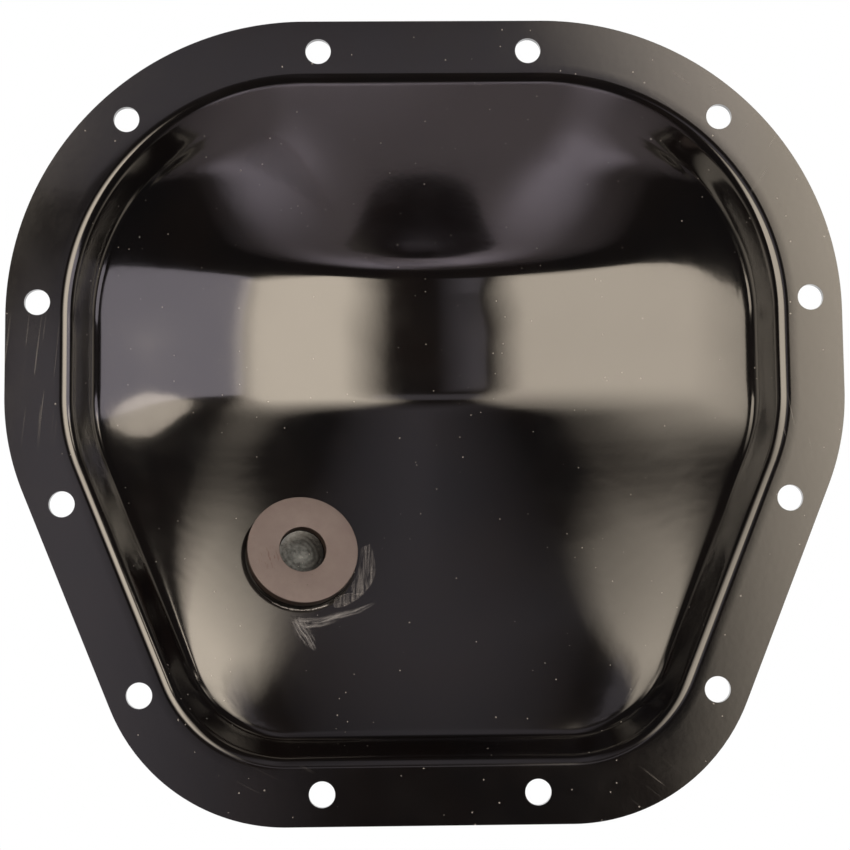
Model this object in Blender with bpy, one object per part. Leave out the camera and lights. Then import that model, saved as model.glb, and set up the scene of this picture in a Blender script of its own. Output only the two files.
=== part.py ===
"""Differential cover: a pressed steel pan with a ring magnet bonded inside it.

The sealing face lies in the plane Y = 0 and looks along -Y. The pan's dome goes back along +Y,
+Z is up, and the origin is the middle of the opening, as the cover sits on its axle housing.
"""

import math

import bmesh
import bpy
from mathutils import Matrix, Vector

# Rim: half of it is drawn by straights and arcs, and mirrored
SHEET = 0.0025
OVERALL_WIDTH = 0.336
OVERALL_HEIGHT = 0.3225
TOP_CORNER_RADIUS = 0.120
SIDE_BLEND_RADIUS = 0.100
LOWER_CORNER_RADIUS = 0.075
BOTTOM_STRAIGHT = 0.112
SIDE_TAPER = math.radians(22.3)

# Bolt holes: clearance for 3/8 inch screws, at their bearings about the middle of the opening
BOLT_HOLE = 0.0103
BOLT_EDGE_DISTANCE = 0.0125
BOLT_BEARINGS = [math.radians(degrees) for degrees in (-74.1, -43.9, -13.3, 16.7, 45.2, 74.0)]

# Step between the flange and the dome
FLANGE_WIDTH = 0.0215
FLANGE_BEND = 0.006
WALL_ANGLE = math.radians(66)
LEDGE_INSET = 0.0335
LEDGE_DEPTH = 0.0165
LEDGE_BEND = 0.005

# Dome: a straight crown across the pan, with a steep slope above it and a long one below
CROWN_DEPTH = 0.072
CROWN_TOP = 0.0705
CROWN_BOTTOM = 0.0115
CREASE_REACH = 0.007
UPPER_BOW = 0.0038
CORNER_FULLNESS = 0.3

# Ring magnet and the adhesive that holds it
MAGNET_DIAMETER = 0.0465
MAGNET_BORE = 0.0195
MAGNET_THICKNESS = 0.005
MAGNET_EDGE = 0.0004
MAGNET_X = -0.0528
MAGNET_Z = -0.0549
ADHESIVE_BED = 0.0012
ADHESIVE_PLUG = 0.0009
PLUG_ROUNDING = 0.0014
ADHESIVE_LIP = 0.0022
LIP_ROUNDING = 0.0007
CLEARANCE = 0.0003

# Facets
HALF_END_COLUMNS = 12
CROWN_ROWS = 6
CREASE_ROWS = 4
UNDERSIDE_RINGS = 4
UPPER_ROWS = 4
LOWER_ROWS = 14
BEND_STEPS = 5
FILLET_STEPS = 4
HOLE_SIDES = 28
MAGNET_SIDES = 72

CORNER_HEADING = math.radians(45)


def solve(function, low, high):
    """Where a rising function crosses zero between two values."""
    for _ in range(50):
        middle = (low + high) / 2
        if function(middle) < 0:
            low = middle
        else:
            high = middle
    return (low + high) / 2


def rim_pieces():
    """Length and turn of each straight and arc, from the bottom middle round to the top middle."""
    half_width = OVERALL_WIDTH / 2
    lean = math.pi / 2 - SIDE_TAPER
    corner_x = BOTTOM_STRAIGHT / 2 + LOWER_CORNER_RADIUS * math.sin(lean)
    blend_x = half_width - SIDE_BLEND_RADIUS * (1 - math.cos(SIDE_TAPER))
    taper = (blend_x - corner_x) / math.cos(lean)
    side = (
        OVERALL_HEIGHT
        - LOWER_CORNER_RADIUS * (1 - math.cos(lean))
        - taper * math.sin(lean)
        - SIDE_BLEND_RADIUS * math.sin(SIDE_TAPER)
        - TOP_CORNER_RADIUS
    )
    return (
        (BOTTOM_STRAIGHT / 2, 0.0),
        (LOWER_CORNER_RADIUS * lean, lean),
        (taper, 0.0),
        (SIDE_BLEND_RADIUS * SIDE_TAPER, SIDE_TAPER),
        (side, 0.0),
        (TOP_CORNER_RADIUS * math.pi / 2, math.pi / 2),
        (half_width - TOP_CORNER_RADIUS, 0.0),
    )


RIM = rim_pieces()
HALF_RIM = sum(length for length, _ in RIM)


def rim_point(distance, inset=0.0):
    """Point at a distance along the right half of the rim, set in square to its edge."""
    x, z, heading = 0.0, -OVERALL_HEIGHT / 2, 0.0
    for length, turn in RIM:
        step = min(distance, length)
        angle = turn * step / length
        chord = 2 * length / turn * math.sin(angle / 2) if turn else step
        x += chord * math.cos(heading + angle / 2)
        z += chord * math.sin(heading + angle / 2)
        heading += angle
        distance -= step
        if distance <= 0:
            break
    return Vector((x - inset * math.sin(heading), 0.0, z + inset * math.cos(heading)))


def rim_distance(height, inset=0.0):
    """Distance along the right half of the rim at which it reaches a height."""
    return solve(lambda distance: rim_point(distance, inset).z - height, 0.0, HALF_RIM)


FLOOR_TOP = rim_point(HALF_RIM, LEDGE_INSET).z
FLOOR_BOTTOM = rim_point(0.0, LEDGE_INSET).z


def crease_drop(offset, slope):
    """How far rounding a crease off lowers the dome, at an offset in height from the crease."""
    overlap = max(CREASE_REACH - abs(offset), 0.0)
    return slope * overlap * overlap / (4 * CREASE_REACH)


def middle_rise(z):
    """Rise of the dome over its floor down its middle: lower slope, crown and upper slope."""
    rise = CROWN_DEPTH - LEDGE_DEPTH
    lower_run = CROWN_BOTTOM - FLOOR_BOTTOM
    upper_run = FLOOR_TOP - CROWN_TOP
    up = (z - FLOOR_BOTTOM) / lower_run
    down = (FLOOR_TOP - z) / upper_run
    bowed = rise * down + 4 * UPPER_BOW * down * (1 - down)
    sharp = min(rise * up, rise, bowed)
    return (
        sharp
        - crease_drop(z - CROWN_BOTTOM, rise / lower_run)
        - crease_drop(z - CROWN_TOP, (rise - 4 * UPPER_BOW) / upper_run)
    )


def dome_depth(x, z):
    """Depth of the inner skin behind the sealing face, anywhere inside the step."""
    height = min(max(z, FLOOR_BOTTOM), FLOOR_TOP)
    half_width = rim_point(rim_distance(height, LEDGE_INSET), LEDGE_INSET).x
    rise = CROWN_DEPTH - LEDGE_DEPTH
    down_share = middle_rise(z) / rise
    side_share = 1 - (x / half_width) ** 2
    if min(down_share, side_share) <= 0:
        return LEDGE_DEPTH
    both = down_share ** -CORNER_FULLNESS + side_share ** -CORNER_FULLNESS - 1
    return LEDGE_DEPTH + rise * both ** (-1 / CORNER_FULLNESS)


def step_profile(edge, inward):
    """Insets and depths from the sheet's edge over the flange, its bend, the wall and the fillet."""
    bend_end = FLANGE_WIDTH + FLANGE_BEND * math.sin(WALL_ANGLE)
    bend_depth = FLANGE_BEND * (1 - math.cos(WALL_ANGLE))
    wall_normal = Vector((math.sin(WALL_ANGLE), -math.cos(WALL_ANGLE)))

    def depth(inset):
        point = edge + inward * inset
        return dome_depth(point.x, point.z)

    def fillet(inset):
        slope = (depth(inset + SHEET) - depth(inset - SHEET)) / (2 * SHEET)
        lean = math.atan(slope)
        centre = Vector((
            inset + LEDGE_BEND * math.sin(lean),
            depth(inset) - LEDGE_BEND * math.cos(lean),
        ))
        return centre, lean

    def clearance(inset):
        centre, _ = fillet(inset)
        from_wall = centre - Vector((bend_end, bend_depth))
        return from_wall.dot(wall_normal) - LEDGE_BEND

    profile = [(0.0, 0.0)]
    for step in range(BEND_STEPS + 1):
        angle = WALL_ANGLE * step / BEND_STEPS
        inset = FLANGE_WIDTH + FLANGE_BEND * math.sin(angle)
        profile.append((inset, FLANGE_BEND * (1 - math.cos(angle))))
    foot = solve(clearance, FLANGE_WIDTH, LEDGE_INSET + 4 * LEDGE_BEND)
    centre, lean = fillet(foot)
    for step in range(FILLET_STEPS + 1):
        angle = WALL_ANGLE + (lean - WALL_ANGLE) * step / FILLET_STEPS
        profile.append((
            centre.x - LEDGE_BEND * math.sin(angle),
            centre.y + LEDGE_BEND * math.cos(angle),
        ))
    return profile


def spread(start, end, count):
    """Values from start towards end in even steps, without the end itself."""
    return [start + (end - start) * step / count for step in range(count)]


def side_heights():
    """Heights of the rows of faces up the side, lined up with the creases beside the crown."""
    arcs = [sum(length for length, _ in RIM[:count]) for count in range(len(RIM))]
    low = rim_point(arcs[1] + LOWER_CORNER_RADIUS * CORNER_HEADING, LEDGE_INSET).z
    high = rim_point(arcs[5] + TOP_CORNER_RADIUS * CORNER_HEADING, LEDGE_INSET).z
    bands = (
        (low, LOWER_ROWS),
        (CROWN_BOTTOM - CREASE_REACH, CREASE_ROWS),
        (CROWN_BOTTOM + CREASE_REACH, CROWN_ROWS),
        (CROWN_TOP - CREASE_REACH, CREASE_ROWS),
        (CROWN_TOP + CREASE_REACH, UPPER_ROWS),
    )
    heights = []
    for (start, rows), (end, _) in zip(bands, bands[1:] + ((high, 0),)):
        heights += spread(start, end, rows)
    return heights + [high]


def half_rim_stations():
    """Distances along the right half of the rim at which the spokes of the mesh stand."""
    sides = [rim_distance(height, LEDGE_INSET) for height in side_heights()]
    return (
        spread(0.0, sides[0], HALF_END_COLUMNS)
        + sides
        + spread(HALF_RIM, sides[-1], HALF_END_COLUMNS)[::-1]
    )


def add_step(mesh):
    """Flange, bend, wall and fillet as rings round the opening. Returns the innermost ring."""
    right = []
    for distance in half_rim_stations():
        edge = rim_point(distance)
        inward = rim_point(distance, 1.0) - edge
        points = []
        for inset, depth in step_profile(edge, inward):
            point = edge + inward * inset
            points.append(Vector((point.x, depth, point.z)))
        right.append(points)
    left = [[Vector((-p.x, p.y, p.z)) for p in points] for points in right[-2:0:-1]]
    spokes = [[mesh.verts.new(point) for point in points] for points in right + left]
    for spoke, following in zip(spokes, spokes[1:] + spokes[:1]):
        for near in range(len(spoke) - 1):
            mesh.faces.new((spoke[near], following[near], following[near + 1], spoke[near + 1]))
    return [spoke[-1] for spoke in spokes]


def add_dome(mesh, ring):
    """Rows of faces across the dome, inside the innermost ring of the step."""
    columns = 2 * HALF_END_COLUMNS
    rows = len(side_heights()) - 1
    count = len(ring)
    grid = [[None] * (columns + 1) for _ in range(rows + 1)]
    for row in range(rows + 1):
        grid[row][columns] = ring[HALF_END_COLUMNS + row]
        grid[row][0] = ring[(count - HALF_END_COLUMNS - row) % count]
    for column in range(1, columns):
        grid[0][column] = ring[(column - HALF_END_COLUMNS) % count]
        grid[rows][column] = ring[HALF_END_COLUMNS + rows + columns - column]

    for row in range(1, rows):
        end = grid[row][columns].co
        for column in range(1, columns):
            across = column / HALF_END_COLUMNS - 1
            x, z = across * end.x, end.z
            for last_row, fade_from in ((rows, CROWN_TOP), (0, CROWN_BOTTOM)):
                corner = grid[last_row][columns].co
                share = max((end.z - fade_from) / (corner.z - fade_from), 0.0) ** 2
                x += share * (grid[last_row][column].co.x - across * corner.x)
                z += share * (grid[last_row][column].co.z - corner.z)
            grid[row][column] = mesh.verts.new((x, dome_depth(x, z), z))

    for lower, upper in zip(grid, grid[1:]):
        for column in range(columns):
            corners = lower[column], lower[column + 1], upper[column + 1], upper[column]
            mesh.faces.new(corners)


def material(name, colour, metallic, roughness):
    """Principled material of one finish."""
    finish = bpy.data.materials.new(name)
    finish.use_nodes = True
    shader = finish.node_tree.nodes["Principled BSDF"]
    shader.inputs["Base Color"].default_value = (*colour, 1.0)
    shader.inputs["Metallic"].default_value = metallic
    shader.inputs["Roughness"].default_value = roughness
    return finish


def add_object(name, mesh, finish=None):
    """Object in the scene from a bmesh, with its material."""
    bmesh.ops.recalc_face_normals(mesh, faces=mesh.faces)
    data = bpy.data.meshes.new(name)
    mesh.to_mesh(data)
    mesh.free()
    if finish:
        data.materials.append(finish)
    data.shade_smooth()
    data.set_sharp_from_angle(angle=math.radians(40))
    placed = bpy.data.objects.new(name, data)
    bpy.context.scene.collection.objects.link(placed)
    return placed


def bolt_centres():
    """Centres of the bolt holes on the sealing face."""
    centres = []
    for bearing in BOLT_BEARINGS:
        def past_bearing(distance):
            point = rim_point(distance, BOLT_EDGE_DISTANCE)
            return math.atan2(point.z, point.x) - bearing

        right = rim_point(solve(past_bearing, 0.0, HALF_RIM), BOLT_EDGE_DISTANCE)
        centres += [right, Vector((-right.x, 0.0, right.z))]
    return centres


def make_bolt_cutters():
    """Cutters for all the bolt holes, in one hidden object."""
    mesh = bmesh.new()
    for centre in bolt_centres():
        place = Matrix.Translation(centre) @ Matrix.Rotation(math.pi / 2, 4, "X")
        bmesh.ops.create_cone(
            mesh, cap_ends=True, segments=HOLE_SIDES,
            radius1=BOLT_HOLE / 2, radius2=BOLT_HOLE / 2, depth=6 * SHEET, matrix=place,
        )
    cutters = add_object("bolt_hole_cutters", mesh)
    cutters.hide_render = True
    cutters.display_type = "WIRE"
    return cutters


def make_cover():
    """Pressed sheet steel pan: one skin, thickened to the outside, with its bolt holes cut."""
    mesh = bmesh.new()
    add_dome(mesh, add_step(mesh))
    black_paint = material("black_paint", (0.012, 0.011, 0.012), 0.0, 0.25)
    cover = add_object("cover", mesh, black_paint)

    faces = cover.data.polygons
    facing_out = sum(face.normal.y * face.area for face in faces) < 0
    wall = cover.modifiers.new("sheet_thickness", "SOLIDIFY")
    wall.thickness = SHEET
    wall.offset = -1.0 if facing_out else 1.0
    wall.use_even_offset = True

    holes = cover.modifiers.new("bolt_holes", "BOOLEAN")
    holes.operation = "DIFFERENCE"
    holes.solver = "EXACT"
    holes.object = make_bolt_cutters()
    return cover


def seat_frame():
    """Place of the magnet's seat: local Z stands square on the dome, towards the opening."""
    step = MAGNET_BORE / 2
    across = dome_depth(MAGNET_X + step, MAGNET_Z) - dome_depth(MAGNET_X - step, MAGNET_Z)
    upward = dome_depth(MAGNET_X, MAGNET_Z + step) - dome_depth(MAGNET_X, MAGNET_Z - step)
    normal = Vector((across, -2 * step, upward)).normalized()
    right = Vector((1.0, 0.0, 0.0))
    right = (right - normal * right.dot(normal)).normalized()
    up = normal.cross(right)
    turn = Matrix((right, up, normal)).transposed().to_4x4()
    point = Vector((MAGNET_X, dome_depth(MAGNET_X, MAGNET_Z), MAGNET_Z))
    return Matrix.Translation(point) @ turn


def skin_height(seat, x, y):
    """Height of the dome's skin over the seat's plane, at a point of that plane."""
    height = 0.0
    for _ in range(8):
        point = seat @ Vector((x, y, height))
        height += point.y - dome_depth(point.x, point.z)
    return height


def on_circle(radius, sides):
    """Points round a circle about the seat's middle."""
    angles = [2 * math.pi * side / sides for side in range(sides)]
    return [(radius * math.cos(angle), radius * math.sin(angle)) for angle in angles]


def turned(mesh, profile, closed):
    """Faces between rings of points given as one list for each ring."""
    rings = [[mesh.verts.new(point) for point in ring] for ring in profile]
    following = rings[1:] + rings[:1] if closed else rings[1:]
    for ring, outer in zip(rings, following):
        for side in range(len(ring)):
            after = (side + 1) % len(ring)
            mesh.faces.new((ring[side], ring[after], outer[after], outer[side]))
    return rings


def make_magnet(seat, base):
    """Sintered ring magnet with slightly broken edges, its back a little off the dome."""
    bore, outside = MAGNET_BORE / 2, MAGNET_DIAMETER / 2
    edge = MAGNET_EDGE
    face = base + MAGNET_THICKNESS
    section = (
        (bore, base + edge), (bore, face - edge), (bore + edge, face), (outside - edge, face),
        (outside, face - edge), (outside, base + edge), (outside - edge, base), (bore + edge, base),
    )
    mesh = bmesh.new()
    turned(mesh, [[(x, y, z) for x, y in on_circle(r, MAGNET_SIDES)] for r, z in section], True)
    ferrite = material("ferrite", (0.205, 0.150, 0.128), 0.0, 0.6)
    magnet = add_object("magnet", mesh, ferrite)
    magnet.matrix_world = seat
    return magnet


def make_adhesive(seat, base):
    """Bed of adhesive between dome and magnet, with the plug in the bore and a squeezed-out lip."""
    plug = MAGNET_BORE / 2 - CLEARANCE
    lip = MAGNET_DIAMETER / 2 + ADHESIVE_LIP
    bed_top = base - CLEARANCE
    plug_top = base + ADHESIVE_PLUG
    top = (
        (plug / 2, plug_top), (plug - PLUG_ROUNDING, plug_top), (plug, plug_top - ADHESIVE_PLUG / 2),
        (plug, bed_top), (MAGNET_DIAMETER / 2, bed_top), (lip - LIP_ROUNDING, bed_top),
    )
    mesh = bmesh.new()
    rings = [[(x, y, z) for x, y in on_circle(r, MAGNET_SIDES)] for r, z in top]
    for radius in spread(lip, 0.0, UNDERSIDE_RINGS):
        under = []
        for x, y in on_circle(radius, MAGNET_SIDES):
            under.append((x, y, skin_height(seat, x, y) + CLEARANCE))
        rings.append(under)
    rings = turned(mesh, rings, False)
    mesh.faces.new(rings[0])
    mesh.faces.new(rings[-1])
    clear_cement = material("adhesive", (0.16, 0.16, 0.17), 0.0, 0.3)
    adhesive = add_object("magnet_adhesive", mesh, clear_cement)
    adhesive.matrix_world = seat
    return adhesive


def make_magnet_set():
    """Magnet and adhesive on their seat low on the left of the dome."""
    seat = seat_frame()
    rim = on_circle(MAGNET_DIAMETER / 2, MAGNET_SIDES)
    base = max(skin_height(seat, x, y) for x, y in rim) + ADHESIVE_BED
    make_magnet(seat, base)
    make_adhesive(seat, base)


for leftover in list(bpy.data.objects):
    bpy.data.objects.remove(leftover)
make_cover()
make_magnet_set()
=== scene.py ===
"""Differential cover: a pressed steel pan in gloss black, with a ring magnet bonded inside it.

The pan looks along -Y with its open side, +Z is up, and all sizes are in metres.
"""

import math

import bmesh
import bpy
from mathutils import Matrix, Vector
from mathutils.bvhtree import BVHTree
from mathutils.kdtree import KDTree


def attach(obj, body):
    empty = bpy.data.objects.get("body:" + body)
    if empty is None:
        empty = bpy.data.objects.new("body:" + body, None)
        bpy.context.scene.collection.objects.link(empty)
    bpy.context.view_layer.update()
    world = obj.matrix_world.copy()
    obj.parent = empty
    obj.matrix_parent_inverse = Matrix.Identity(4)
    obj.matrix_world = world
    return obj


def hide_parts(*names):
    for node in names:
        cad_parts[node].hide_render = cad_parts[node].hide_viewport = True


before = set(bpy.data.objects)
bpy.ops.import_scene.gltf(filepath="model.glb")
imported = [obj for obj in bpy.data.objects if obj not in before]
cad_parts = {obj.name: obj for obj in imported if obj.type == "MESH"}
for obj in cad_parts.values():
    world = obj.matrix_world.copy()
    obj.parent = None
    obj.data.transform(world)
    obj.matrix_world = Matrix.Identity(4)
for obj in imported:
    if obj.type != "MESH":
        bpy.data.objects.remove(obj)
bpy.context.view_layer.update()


# Blank of the pan: one flat sheet of steel, cut to the outline of straights and arcs that the
# axle housing has. Each point knows how far it lies from the sheet's edge and how wide the
# floor of the pan is at its height, because the press works from those two.

OVERALL_WIDTH = 0.336
OVERALL_HEIGHT = 0.3225
TOP_CORNER_RADIUS = 0.120
SIDE_BLEND_RADIUS = 0.100
LOWER_CORNER_RADIUS = 0.075
BOTTOM_STRAIGHT = 0.112
SIDE_TAPER = math.radians(22.3)
CORNER_HEADING = math.radians(45)
FLANGE_WIDTH = 0.0215
FLANGE_BEND = 0.006
WALL_ANGLE = math.radians(66)
FLOOR_INSET = 0.0335
GRID_INSET = 0.038
HALF_COLUMNS = 58
SIDE_ROWS = 120
FLANGE_RINGS = 6
BEND_RINGS = 12
WALL_RINGS = 18
HALVINGS = 40
HEIGHT_DIGITS = 4
TINY = 1e-5


def rim_pieces():
    """Length and turn of each straight and arc, from the bottom middle round to the top middle."""
    half_width = OVERALL_WIDTH / 2
    lean = math.pi / 2 - SIDE_TAPER
    corner_x = BOTTOM_STRAIGHT / 2 + LOWER_CORNER_RADIUS * math.sin(lean)
    blend_x = half_width - SIDE_BLEND_RADIUS * (1 - math.cos(SIDE_TAPER))
    taper = (blend_x - corner_x) / math.cos(lean)
    side = (
        OVERALL_HEIGHT
        - LOWER_CORNER_RADIUS * (1 - math.cos(lean))
        - taper * math.sin(lean)
        - SIDE_BLEND_RADIUS * math.sin(SIDE_TAPER)
        - TOP_CORNER_RADIUS
    )
    return (
        (BOTTOM_STRAIGHT / 2, 0.0),
        (LOWER_CORNER_RADIUS * lean, lean),
        (taper, 0.0),
        (SIDE_BLEND_RADIUS * SIDE_TAPER, SIDE_TAPER),
        (side, 0.0),
        (TOP_CORNER_RADIUS * math.pi / 2, math.pi / 2),
        (half_width - TOP_CORNER_RADIUS, 0.0),
    )


RIM = rim_pieces()
HALF_RIM = sum(length for length, _ in RIM)


def rim_point(distance, inset):
    """Point at a distance along the right half of the rim, set in square to its edge."""
    x, z, heading = 0.0, -OVERALL_HEIGHT / 2, 0.0
    for length, turn in RIM:
        step = min(distance, length)
        angle = turn * step / length
        chord = 2 * length / turn * math.sin(angle / 2) if turn else step
        x += chord * math.cos(heading + angle / 2)
        z += chord * math.sin(heading + angle / 2)
        heading += angle
        distance -= step
        if distance <= 0:
            break
    return Vector((x - inset * math.sin(heading), 0.0, z + inset * math.cos(heading)))


FLOOR_BOTTOM = rim_point(0.0, FLOOR_INSET).z
FLOOR_TOP = rim_point(HALF_RIM, FLOOR_INSET).z
EVEN_REACH = 0.009
EVEN_SHARES = (-1.0, -0.6, -0.2, 0.2, 0.6, 1.0)


def rim_distance(value, measure):
    """Distance along the right half of the rim at which a rising measure reaches a value."""
    low, high = 0.0, HALF_RIM
    for _ in range(HALVINGS):
        middle = (low + high) / 2
        if measure(middle) < value:
            low = middle
        else:
            high = middle
    return high


def floor_half_width(z):
    """Half the width of the pan's floor at a height, evened out where a straight joins an arc."""
    height = min(max(z, FLOOR_BOTTOM + TINY), FLOOR_TOP - TINY)
    reach = min(EVEN_REACH, (height - FLOOR_BOTTOM) / 2, (FLOOR_TOP - height) / 2)
    total = 0.0
    for share in EVEN_SHARES:
        near = height + share * reach
        total += rim_point(rim_distance(near, lambda d: rim_point(d, FLOOR_INSET).z), FLOOR_INSET).x
    return total / len(EVEN_SHARES)


def spread(start, end, count):
    """Values from start to end in even steps, both included."""
    return [start + (end - start) * step / count for step in range(count + 1)]


def ring_insets():
    """Insets of the rings round the opening: flange, bend, then the wall and its fillet."""
    bend = [FLANGE_BEND * math.sin(angle) for angle in spread(0.0, WALL_ANGLE, BEND_RINGS)]
    bend = [FLANGE_WIDTH + reach for reach in bend]
    wall = spread(bend[-1], GRID_INSET, WALL_RINGS)
    return spread(0.0, FLANGE_WIDTH, FLANGE_RINGS)[:-1] + bend + wall[1:]


def add_object(name, data):
    """Object of a mesh, lamp or camera, in the scene."""
    placed = bpy.data.objects.new(name, data)
    bpy.context.scene.collection.objects.link(placed)
    return placed


def add_mesh(name, mesh):
    """Object of a finished bmesh, in the scene."""
    data = bpy.data.meshes.new(name)
    mesh.to_mesh(data)
    mesh.free()
    return add_object(name, data)


def make_blank():
    """Flat sheet with rings of faces round its edge and a grid of faces inside them."""
    low = rim_point(RIM[0][0] + LOWER_CORNER_RADIUS * CORNER_HEADING, GRID_INSET).z
    upper_start = sum(length for length, _ in RIM[:-2])
    high = rim_point(upper_start + TOP_CORNER_RADIUS * CORNER_HEADING, GRID_INSET).z
    heights = spread(low, high, SIDE_ROWS)
    sides = [rim_distance(z, lambda d: rim_point(d, GRID_INSET).z) for z in heights]
    stations = (
        spread(0.0, sides[0], HALF_COLUMNS)[:-1]
        + sides
        + spread(sides[-1], HALF_RIM, HALF_COLUMNS)[1:]
    )
    mesh = bmesh.new()
    inset_layer = mesh.verts.layers.float.new("inset")
    width_layer = mesh.verts.layers.float.new("floor_half_width")

    def add_point(x, z, inset):
        vertex = mesh.verts.new((x, 0.0, z))
        vertex[inset_layer] = inset
        return vertex

    right = [[(rim_point(d, inset), inset) for inset in ring_insets()] for d in stations]
    spokes = [[add_point(p.x, p.z, inset) for p, inset in spoke] for spoke in right]
    spokes += [[add_point(-p.x, p.z, inset) for p, inset in spoke] for spoke in right[-2:0:-1]]
    for spoke, following in zip(spokes, spokes[1:] + spokes[:1]):
        for near in range(len(spoke) - 1):
            mesh.faces.new((spoke[near], following[near], following[near + 1], spoke[near + 1]))

    ring = [spoke[-1] for spoke in spokes]
    near_ring = KDTree(len(ring))
    for index, vertex in enumerate(ring):
        near_ring.insert(vertex.co, index)
    near_ring.balance()
    columns = 2 * HALF_COLUMNS
    grid = [[None] * (columns + 1) for _ in range(SIDE_ROWS + 1)]
    for row in range(SIDE_ROWS + 1):
        grid[row][columns] = ring[HALF_COLUMNS + row]
        grid[row][0] = ring[(len(ring) - HALF_COLUMNS - row) % len(ring)]
    for column in range(1, columns):
        grid[0][column] = ring[(column - HALF_COLUMNS) % len(ring)]
        grid[SIDE_ROWS][column] = ring[HALF_COLUMNS + SIDE_ROWS + columns - column]
    for row in range(1, SIDE_ROWS):
        end = grid[row][columns].co
        for column in range(1, columns):
            across = column / HALF_COLUMNS - 1
            x, z = across * end.x, end.z
            for last_row in (0, SIDE_ROWS):
                corner = grid[last_row][columns].co
                share = max(end.z / corner.z, 0.0) ** 2
                x += share * (grid[last_row][column].co.x - across * corner.x)
                z += share * (grid[last_row][column].co.z - corner.z)
            from_ring = near_ring.find((x, 0.0, z))[2]
            grid[row][column] = add_point(x, z, GRID_INSET + from_ring)
    for lower, upper in zip(grid, grid[1:]):
        for column in range(columns):
            corners = lower[column], upper[column], upper[column + 1], lower[column + 1]
            mesh.faces.new(corners[::-1])

    widths = {}
    for vertex in mesh.verts:
        key = round(vertex.co.z, HEIGHT_DIGITS)
        if key not in widths:
            widths[key] = floor_half_width(vertex.co.z)
        vertex[width_layer] = widths[key]
    mesh.faces.ensure_lookup_table()
    mesh.normal_update()
    if mesh.faces[0].normal.y > 0:
        bmesh.ops.reverse_faces(mesh, faces=mesh.faces)
    return add_mesh("blank", mesh)


blank = make_blank()


# Pressing: the dies sink the blank past its flat flange, over a rounded bend and down a wall that
# leans more at the top, into a floor that domes up to a straight crown across the pan. The upper
# slope is steep, the lower one long, and a fillet runs where wall and dome meet.

PRESS_SIZES = {
    "Flange Width": FLANGE_WIDTH,
    "Flange Bend": FLANGE_BEND,
    "Wall Angle": WALL_ANGLE,
    "Top Wall Angle": math.radians(48.5),
    "Floor Depth": 0.0165,
    "Top Floor Depth": 0.0145,
    "Top Centre": 0.02,
    "Top Start": 0.48,
    "Top End": 0.82,
    "Floor Bottom": FLOOR_BOTTOM,
    "Floor Top": FLOOR_TOP,
    "Crown Depth": 0.072,
    "Crown Bottom": 0.0115,
    "Crown Top": 0.0705,
    "Upper Bow": 0.0005,
    "Lower Crease": 0.0039,
    "Upper Crease": 0.0095,
    "Corner Fullness": 0.3,
    "Fillet": 0.0055,
}


def new_group(name, kind, inputs, outputs):
    """Node group with named sockets, and its input and output nodes."""
    group = bpy.data.node_groups.new(name, kind)
    for socket_name, data, value in inputs:
        socket = group.interface.new_socket(socket_name, in_out="INPUT", socket_type="NodeSocket" + data)
        if value is not None:
            socket.default_value = value
    for socket_name, data in outputs:
        group.interface.new_socket(socket_name, in_out="OUTPUT", socket_type="NodeSocket" + data)
    return group, group.nodes.new("NodeGroupInput"), group.nodes.new("NodeGroupOutput")


def tree_with_sizes(name, sizes):
    """Geometry tree that takes a mesh, named sizes and a material."""
    inputs = [(size, "Float", value) for size, value in sizes.items()]
    inputs = [("Geometry", "Geometry", None), *inputs, ("Material", "Material", None)]
    return new_group(name, "GeometryNodeTree", inputs, [("Geometry", "Geometry")])


def set_inputs(tree, node, values):
    """Links each named input of a node to a socket, or gives it a value."""
    for name, value in values.items():
        socket = node.inputs[name]
        if isinstance(value, bpy.types.NodeSocket):
            tree.links.new(value, socket)
        else:
            socket.default_value = (*value, 1.0) if socket.type == "RGBA" else value


def calculator(tree):
    """Function that adds a math node to a tree and returns its result."""

    def calculate(operation, *values):
        node = tree.nodes.new("ShaderNodeMath")
        node.operation = operation
        set_inputs(tree, node, dict(enumerate(values)))
        return node.outputs[0]

    return calculate


def finish_tree(tree, geometry, material, result):
    """Ends a geometry tree: what it has made becomes a plain mesh of one material."""
    real = tree.nodes.new("GeometryNodeRealizeInstances")
    tree.links.new(geometry, real.inputs[0])
    painted = tree.nodes.new("GeometryNodeSetMaterial")
    set_inputs(tree, painted, {"Geometry": real.outputs[0], "Material": material})
    tree.links.new(painted.outputs[0], result.inputs[0])


def named_attribute(tree, name):
    """Field that reads a point attribute of the mesh."""
    node = tree.nodes.new("GeometryNodeInputNamedAttribute")
    node.data_type = "FLOAT"
    node.inputs["Name"].default_value = name
    return node.outputs["Attribute"]


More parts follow.
